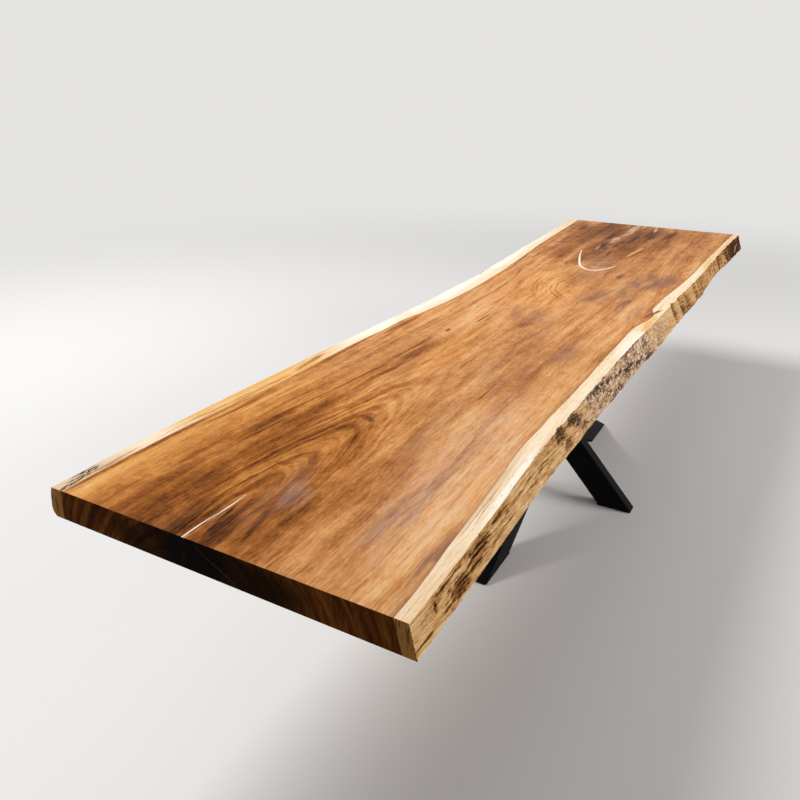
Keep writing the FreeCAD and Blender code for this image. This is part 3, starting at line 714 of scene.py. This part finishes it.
def sapwood(finish, field):
    flat = field["flat"]
    speckle = blended(field["streaks"], field["fibres"], sapLook["speckleShare"])
    lines = finish.ease(finish.ovals(field["crisp"], figure["sapLines"]), *figure["firm"])
    paints = dict(
        sapStreak=finish.ease(speckle, *sapLook["streak"]),
        sapTan=finish.ovals(flat, figure["sapTan"]) * sapLook["tanShare"],
        sapPale=finish.ovals(flat, figure["sapPale"]),
        sapGold=finish.broken(flat, figure["sapGold"], speckle, sapLook["gold"]),
        pencil=lines * finish.ease(speckle, *sapLook["pencil"]),
        sapStain=finish.broken(flat, figure["sapStains"], field["fray"], figure["frayed"]),
        bark=finish.broken(flat, figure["barkMarks"], field["dashes"], sapLook["bark"]),
    )
    colour = woodTones["sap"]
    for name, share in paints.items():
        colour = finish.mix(share, colour, woodTones[name])
    return colour


# the lacquered top: the line between heartwood and sapwood, in metres, then pores and gloss
lacquer = dict(
    lineWander=0.008, lineHalf=0.0012,
    softHalf=0.004, softAcross=(0.0, 0.1), softAlong=(-0.4, -1.0),        # the line blurs at the near left
    rim=(-0.011, -0.001), rimFray=(0.40, 0.56, 0.42),
    poreDark=(0.40, 0.26, 0.4), poreShare=0.4, relief=0.0002,
    roughness=0.42, roughSpread=0.15, specular=0.012,
)


def lacquerTop():
    finish = Finish("lacquered heartwood")
    field = woodFields(finish)
    heart = heartwood(finish, field)
    depth = finish.painted("sap") + (field["ragged"] - 0.5) * lacquer["lineWander"]
    rim = finish.ease(depth, *lacquer["rim"]) * finish.ease(field["fray"], *lacquer["rimFray"])
    heart = finish.mix(rim, heart, woodTones["rim"])
    soft = finish.ease(finish.x, *lacquer["softAlong"], lacquer["softHalf"])
    soft = finish.ease(finish.y, *lacquer["softAcross"]) * soft + lacquer["lineHalf"]
    colour = finish.mix(finish.ease(depth, soft * -1.0, soft), heart, sapwood(finish, field))
    colour = finish.mix(finish.ease(field["pores"], *lacquer["poreDark"]), colour, woodTones["dark"])
    height = blended(field["pores"], field["fibres"], lacquer["poreShare"])
    return finish.cover(lacquer, colour, height, field["fibres"])


# the barked edge: its tones, and how light, fibrous, rough and grey it is along shares of the length
barkEdge = dict(
    tones=[(0.14, tone(44, 22, 9)), (0.34, tone(106, 64, 29)), (0.50, tone(186, 136, 80)),
           (0.62, tone(214, 170, 116)), (0.78, tone(238, 210, 168))],
    lift=[(0.0, 0.61), (0.05, 0.59), (0.24, 0.57), (0.30, 0.55), (0.46, 0.56), (0.50, 0.58), (0.58, 0.57),
          (0.62, 0.54), (0.855, 0.54), (0.89, 0.45), (0.93, 0.40), (1.0, 0.40)],
    fibrous=[(0.0, 1.1), (0.26, 1.0), (0.5, 0.55), (0.6, 0.5), (1.0, 0.5)],
    rough=[(0.0, 0.2), (0.2, 0.35), (0.27, 0.6), (0.46, 0.6), (0.52, 0.25), (0.6, 0.15), (1.0, 0.2)],
    grey=[(0.0, 0.0), (0.265, 0.0), (0.31, 0.85), (0.46, 0.85), (0.53, 0.3), (0.6, 0.1), (0.85, 0.05),
          (1.0, 0.0)],
    # noises: scale along and its lean, scale across, scale up and its lean, detail, roughness
    grains=dict(
        fibres=(11.0, 0.0, 60.0, 240.0, 14.0, 5.0, 0.72), strokes=(42.0, 50.0, 80.0, 130.0, -24.0, 5.0, 0.72),
        flecks=(62.0, 0.0, 85.0, 105.0, 0.0, 4.0, 0.7), patches=(7.0, 0.0, 9.0, 22.0, 0.0, 3.0, 0.5),
        dashes=(44.0, 0.0, 60.0, 300.0, 30.0, 3.0, 0.6),
    ),
    patchShare=0.3, scarWeight=0.5, scarFibres=(0.60, 0.40, 1.1, 0.4),
    greyTone=tone(178, 150, 130), greyShare=0.55,
    lightFleck=tone(232, 218, 202), lightEase=(0.52, 0.62),
    darkFleck=tone(46, 33, 25), darkEase=(0.48, 0.39, 0.95), pitFlecks=0.6, pitPatches=0.3, pitScars=0.16,
    dashTone=tone(84, 50, 24), dashEase=(0.42, 0.32, 0.6), dashPatches=0.5,
    # pale streaks at the far end of the right edge, each (x, z, half length, half height, turn, strength)
    paleTone=tone(222, 188, 150), paleFibres=(0.40, 0.58, 1.0, 0.3), paleBend=0.01,
    paleStreaks=[
        (1.40, 0.712, 0.055, 0.009, -45, 0.9), (1.70, 0.715, 0.070, 0.006, 14, 0.8),
        (1.18, 0.715, 0.050, 0.011, -35, 0.6),
    ],
    reliefShares=dict(fibres=0.5, strokes=0.3, flecks=0.2), relief=0.0016, roughness=0.75, specular=0.03,
)


def barkedEdge():
    finish = Finish("barked edge")
    bark = barkEdge
    share = alongShare(finish)
    field = {}
    for name, (along, alongLean, aside, up, upLean, detail, roughness) in bark["grains"].items():
        leanX = finish.z.scaled(alongLean, finish.x * along)
        leanZ = finish.x.scaled(upLean, finish.z * up)
        field[name] = finish.grain(finish.vector(leanX, finish.y * aside, leanZ), detail, roughness)
    fibres = field["fibres"]
    strokes = field["strokes"]
    patches = field["patches"] - 0.5
    scar = finish.painted("scar")
    grey = finish.course(share, bark["grey"])
    level = finish.course(share, bark["lift"]) + patches * bark["patchShare"]
    level = level + (fibres - 0.5) * finish.course(share, bark["fibrous"])
    level = level + (strokes - 0.5) * finish.course(share, bark["rough"])
    # the scars darken the edge and crowd its dark pits: their dark bark, and painted shade in their hollows
    # and in the flutes
    level = level - scar * finish.ease(fibres, *bark["scarFibres"]) * bark["scarWeight"]
    colour = finish.ramp(level, bark["tones"])
    colour = finish.mix(grey * bark["greyShare"], colour, bark["greyTone"])
    colour = finish.mix(finish.ease(field["flecks"], *bark["lightEase"]) * grey, colour, bark["lightFleck"])
    pits = blended(field["flecks"], strokes, bark["pitFlecks"]) + patches * bark["pitPatches"]
    pits = pits - scar * bark["pitScars"]
    colour = finish.mix(finish.ease(pits, *bark["darkEase"]) * grey, colour, bark["darkFleck"])
    dashes = field["dashes"] + patches * bark["dashPatches"]
    colour = finish.mix(finish.ease(dashes, *bark["dashEase"]), colour, bark["dashTone"])
    face = (finish.x, finish.z + (strokes - 0.5) * bark["paleBend"])
    pale = finish.broken(face, bark["paleStreaks"], fibres, bark["paleFibres"])
    pale = pale * finish.ease(finish.y, 0.0, slabLow.y)        # not on the left edge
    colour = finish.mix(pale, colour, bark["paleTone"])
    height = sum(field[name] * weight for name, weight in bark["reliefShares"].items())
    return finish.cover(bark, colour, height)


# the sawn ends: a dark pith and a few checks, each (y, z, half length, half width, turn, strength)
endGrain = dict(
    tones=[(0.2, tone(38, 17, 5)), (0.45, tone(92, 47, 14)), (0.7, tone(142, 88, 34))],
    sap=tone(190, 134, 74), sapLine=tone(62, 34, 15), pith=tone(10, 5, 3), check=tone(104, 74, 52),
    pithOvals=[
        (0.06, 0.725, 0.20, 0.11, 0, 1.0), (-0.09, 0.715, 0.16, 0.07, 0, 0.9),
        (0.20, 0.700, 0.12, 0.05, 20, 0.8),
    ],
    checks=[(0.010, 0.722, 0.070, 0.0016, 33, 0.8), (0.083, 0.708, 0.018, 0.0014, 88, 0.6)],
    # the rings seen on the ends run about this place (y, z)
    ringMiddle=(0.06, 0.56), ringScale=70.0, ringAside=5.0, ringDetail=4.0, ringRough=0.65,
    ringShare=1.2, ringBend=0.06,
    lines=(1.0, 160.0, 22.0, 4.0, 0.65), lineShare=0.4, lineBend=0.01,
    midLevel=0.50, sapEase=(-0.002, 0.002), sapLineEase=(0.51, 0.66),
    saw=(300.0, 500.0, 60.0, 2.0, 0.5), relief=0.0003, roughness=0.7, specular=0.02,
)


def sawnEnd():
    finish = Finish("sawn end grain")
    end = endGrain
    lines = finish.texture(*end["lines"])
    ringY, ringZ = end["ringMiddle"]
    around = finish.radius(finish.y - ringY, finish.z - ringZ) * end["ringScale"]
    around = finish.vector(around, finish.y * end["ringAside"], finish.z * end["ringAside"])
    rings = finish.grain(around, end["ringDetail"], end["ringRough"]) - 0.5
    level = end["midLevel"] + rings * end["ringShare"] + (lines - 0.5) * end["lineShare"]
    colour = finish.ramp(level, end["tones"])
    flat = (finish.y + rings * end["ringBend"], finish.z + (lines - 0.5) * end["lineBend"])
    colour = finish.mix(finish.ovals(flat, end["pithOvals"]), colour, end["pith"])
    colour = finish.mix(finish.ovals(flat, end["checks"]), colour, end["check"])
    sap = finish.mix(finish.ease(lines, *end["sapLineEase"]), end["sap"], end["sapLine"])
    colour = finish.mix(finish.ease(finish.painted("sap"), *end["sapEase"]), colour, sap)
    return finish.cover(end, colour, finish.texture(*end["saw"]))


# the poured cracks: milky on the top, stained dark where the saw has crossed them at the ends
crackResin = dict(
    milky=tone(250, 242, 232), cloudy=tone(238, 216, 200),
    blush=tone(226, 192, 170), blushCloud=tone(186, 140, 114),
    cloud=(40.0, 120.0, 120.0, 4.0, 0.7), cloudEase=(0.46, 0.62),
    # a dark line inside the near fill
    brown=tone(120, 72, 48), brownMiddle=0.0815, brownWander=0.002, brownAcross=(0.00168, 0.00084),
    brownAlong=(-1.715, -1.755),
    stained=tone(11, 7, 5), stainDepth=(0.0006, 0.0002),
    relief=0.0001, roughness=0.6, specular=0.02,
)


def filledCrack(name, clear, cloudy, lined=False):
    finish = Finish(name)
    resin = crackResin
    cloud = finish.texture(*resin["cloud"])
    colour = finish.mix(finish.ease(cloud, *resin["cloudEase"]), resin[clear], resin[cloudy])
    if lined:
        aside = finish.y + (cloud - 0.5) * resin["brownWander"] - resin["brownMiddle"]
        line = finish.ease(aside.math("ABSOLUTE"), *resin["brownAcross"])
        line = line * finish.ease(finish.x, *resin["brownAlong"])
        colour = finish.mix(line, colour, resin["brown"])
    fromEnd = slabHigh.x - finish.x.math("ABSOLUTE")
    colour = finish.mix(finish.ease(fromEnd, *resin["stainDepth"]), colour, resin["stained"])
    return finish.cover(resin, colour, cloud)


# the base's coat: faint patches of two blacks under a fine orange peel
baseCoat = dict(
    peel=(700.0, 700.0, 700.0, 2.0, 0.5), patches=(9.0, 9.0, 9.0, 3.0, 0.5), spread=(0.3, 0.7),
    dark=tone(6, 6, 7), light=tone(11, 11, 12), relief=0.0001, roughness=0.5, roughSpread=0.12, specular=0.06,
)


def powderCoat():
    finish = Finish("black powder coat")
    patches = finish.texture(*baseCoat["patches"])
    colour = finish.mix(finish.ease(patches, *baseCoat["spread"]), baseCoat["dark"], baseCoat["light"])
    return finish.cover(baseCoat, colour, finish.texture(*baseCoat["peel"]), patches)


padRubber = dict(
    speck=(900.0, 900.0, 900.0, 2.0, 0.5), spread=(0.35, 0.65),
    dark=tone(26, 26, 27), light=tone(44, 43, 42), relief=0.0002, roughness=0.85, specular=0.5,
)


def footRubber():
    finish = Finish("foot rubber")
    speck = finish.texture(*padRubber["speck"])
    colour = finish.mix(finish.ease(speck, *padRubber["spread"]), padRubber["dark"], padRubber["light"])
    return finish.cover(padRubber, colour, speck)


# the fasteners: smears between two tones of each metal
plating = dict(
    smear=(220.0, 220.0, 90.0, 3.0, 0.5), spread=(0.3, 0.7),
    relief=0.00005, roughness=0.3, roughSpread=0.25, specular=0.5, metal=1.0,
    zinc=(tone(150, 152, 156), tone(186, 188, 192)), brass=(tone(170, 128, 62), tone(206, 166, 92)),
)


def platedMetal(name, tones):
    finish = Finish(name)
    smear = finish.texture(*plating["smear"])
    colour = finish.mix(finish.ease(smear, *plating["spread"]), *tones)
    return finish.cover(plating, colour, smear, smear)


slabPiece = makeSlab([lacquerTop(), barkedEdge(), sawnEnd()])
print("slab:", len(slabPiece.data.polygons), "faces")

dress(["resin_fill_near_end"], filledCrack("near crack resin", "milky", "cloudy", True))
dress(["resin_fill_far_end"], filledCrack("far crack resin", "blush", "blushCloud"))
dress(["resin_fill_far_curve"], filledCrack("curved crack resin", "milky", "cloudy"))
dress([n for n in nodes if "_bar_" in n or n.startswith(("foot_plate", "mount_plate"))], powderCoat())
dress([n for n in nodes if n.startswith("foot_pad")], footRubber())
dress(["mount_bolts", "mount_washers"], platedMetal("zinc plate", plating["zinc"]))
dress(["threaded_inserts"], platedMetal("insert brass", plating["brass"]))
print("base and fasteners dressed")

# the stage: a pale floor that fades into a pale surround, soft light from the left, a fill from the right
stage = dict(
    floorRadius=30.0, floorSides=64, floorRoughness=0.6, floorSeen=tone(226, 225, 223),
    floorBounce=tone(150, 148, 146),       # what the floor sends back onto the table
    fadeFrom=2.6, fadeTo=7.0, surround=tone(228, 227, 225), worldTone=tone(252, 252, 255), worldLevel=0.22,
    keyPower=600.0, keySize=4.0, keyPlace=(-0.5, 5.2, 6.8),
    fillPower=320.0, fillSize=3.5, fillPlace=(1.2, -6.0, 2.4),
)


# 1 for rays that show a thing itself: seen by the camera, in gloss or through glass
def seenRay(finish):
    camera = finish.node("ShaderNodeLightPath", output="Is Camera Ray")
    glossy = finish.node("ShaderNodeLightPath", output="Is Glossy Ray")
    through = finish.node("ShaderNodeLightPath", output="Is Transmission Ray")
    return camera.math("MAXIMUM", glossy).math("MAXIMUM", through)


def makeFloor():
    shape = bmesh.new()
    bmesh.ops.create_circle(shape, cap_ends=True, segments=stage["floorSides"], radius=stage["floorRadius"])
    floor = addMesh("floor", shape)
    finish = Finish("pale floor")
    seen = seenRay(finish)
    colour = finish.mix(seen, stage["floorBounce"], stage["floorSeen"])
    sockets = {"Base Color": colour, "Roughness": stage["floorRoughness"]}
    ground = finish.node("ShaderNodeBsdfPrincipled", None, sockets)
    distance = finish.node("ShaderNodeVectorMath", {"operation": "LENGTH"}, {0: finish.place}, "Value")
    faded = finish.ease(distance, stage["fadeFrom"], stage["fadeTo"]) * seen
    haze = finish.node("ShaderNodeEmission", None, {"Color": stage["surround"]})
    finish.node("ShaderNodeOutputMaterial", None, {
        "Surface": finish.node("ShaderNodeMixShader", None, {0: faded, 1: ground, 2: haze})})
    floor.data.materials.append(finish.material)


def addLamp(name, power, size, place, target, inGloss):
    data = bpy.data.lights.new(name, "AREA")
    data.energy = power
    data.shape = "DISK"
    data.size = size
    lamp = bpy.data.objects.new(name, data)
    lamp.location = place
    lamp.visible_glossy = inGloss
    lamp.rotation_euler = (Vector(target) - Vector(place)).to_track_quat("-Z", "Y").to_euler()
    bpy.context.scene.collection.objects.link(lamp)


class Surround(Finish):
    # the world's own nodes
    def __init__(self, world):
        world.use_nodes = True
        self.tree = world.node_tree
        self.tree.nodes.clear()


def makeSurround():
    world = bpy.data.worlds.new("studio")
    bpy.context.scene.world = world
    finish = Surround(world)
    sockets = {"Color": stage["worldTone"], "Strength": stage["worldLevel"]}
    light = finish.node("ShaderNodeBackground", None, sockets)
    shown = finish.node("ShaderNodeBackground", None, {"Color": stage["surround"]})
    finish.node("ShaderNodeOutputWorld", None, {
        "Surface": finish.node("ShaderNodeMixShader", None, {0: seenRay(finish), 1: light, 2: shown})})


makeFloor()
tableMiddle = (0.0, 0.0, slabHigh.z)
addLamp("key", stage["keyPower"], stage["keySize"], stage["keyPlace"], tableMiddle, True)
# the fill isn't seen in gloss, so it leaves no glare on the top
addLamp("fill", stage["fillPower"], stage["fillSize"], stage["fillPlace"], tableMiddle, False)
makeSurround()

# the camera, as the picture was taken: standing off the near right corner, looking along the table
view = dict(place=(-2.721, -0.9105, 1.610), heading=(0.8693, 0.4942), pitch=23.83, lens=33.93, sensor=36.0)


def addCamera():
    data = bpy.data.cameras.new("camera")
    data.lens = view["lens"]
    data.sensor_width = view["sensor"]
    data.sensor_fit = "HORIZONTAL"
    camera = bpy.data.objects.new("camera", data)
    camera.location = view["place"]
    pitch = math.radians(view["pitch"])
    look = Vector((*(part * math.cos(pitch) for part in view["heading"]), -math.sin(pitch)))
    camera.rotation_euler = look.to_track_quat("-Z", "Y").to_euler()
    bpy.context.scene.collection.objects.link(camera)
    bpy.context.scene.camera = camera


addCamera()
bpy.context.scene.view_settings.view_transform = "Standard"
print("stage, lamps and camera set")
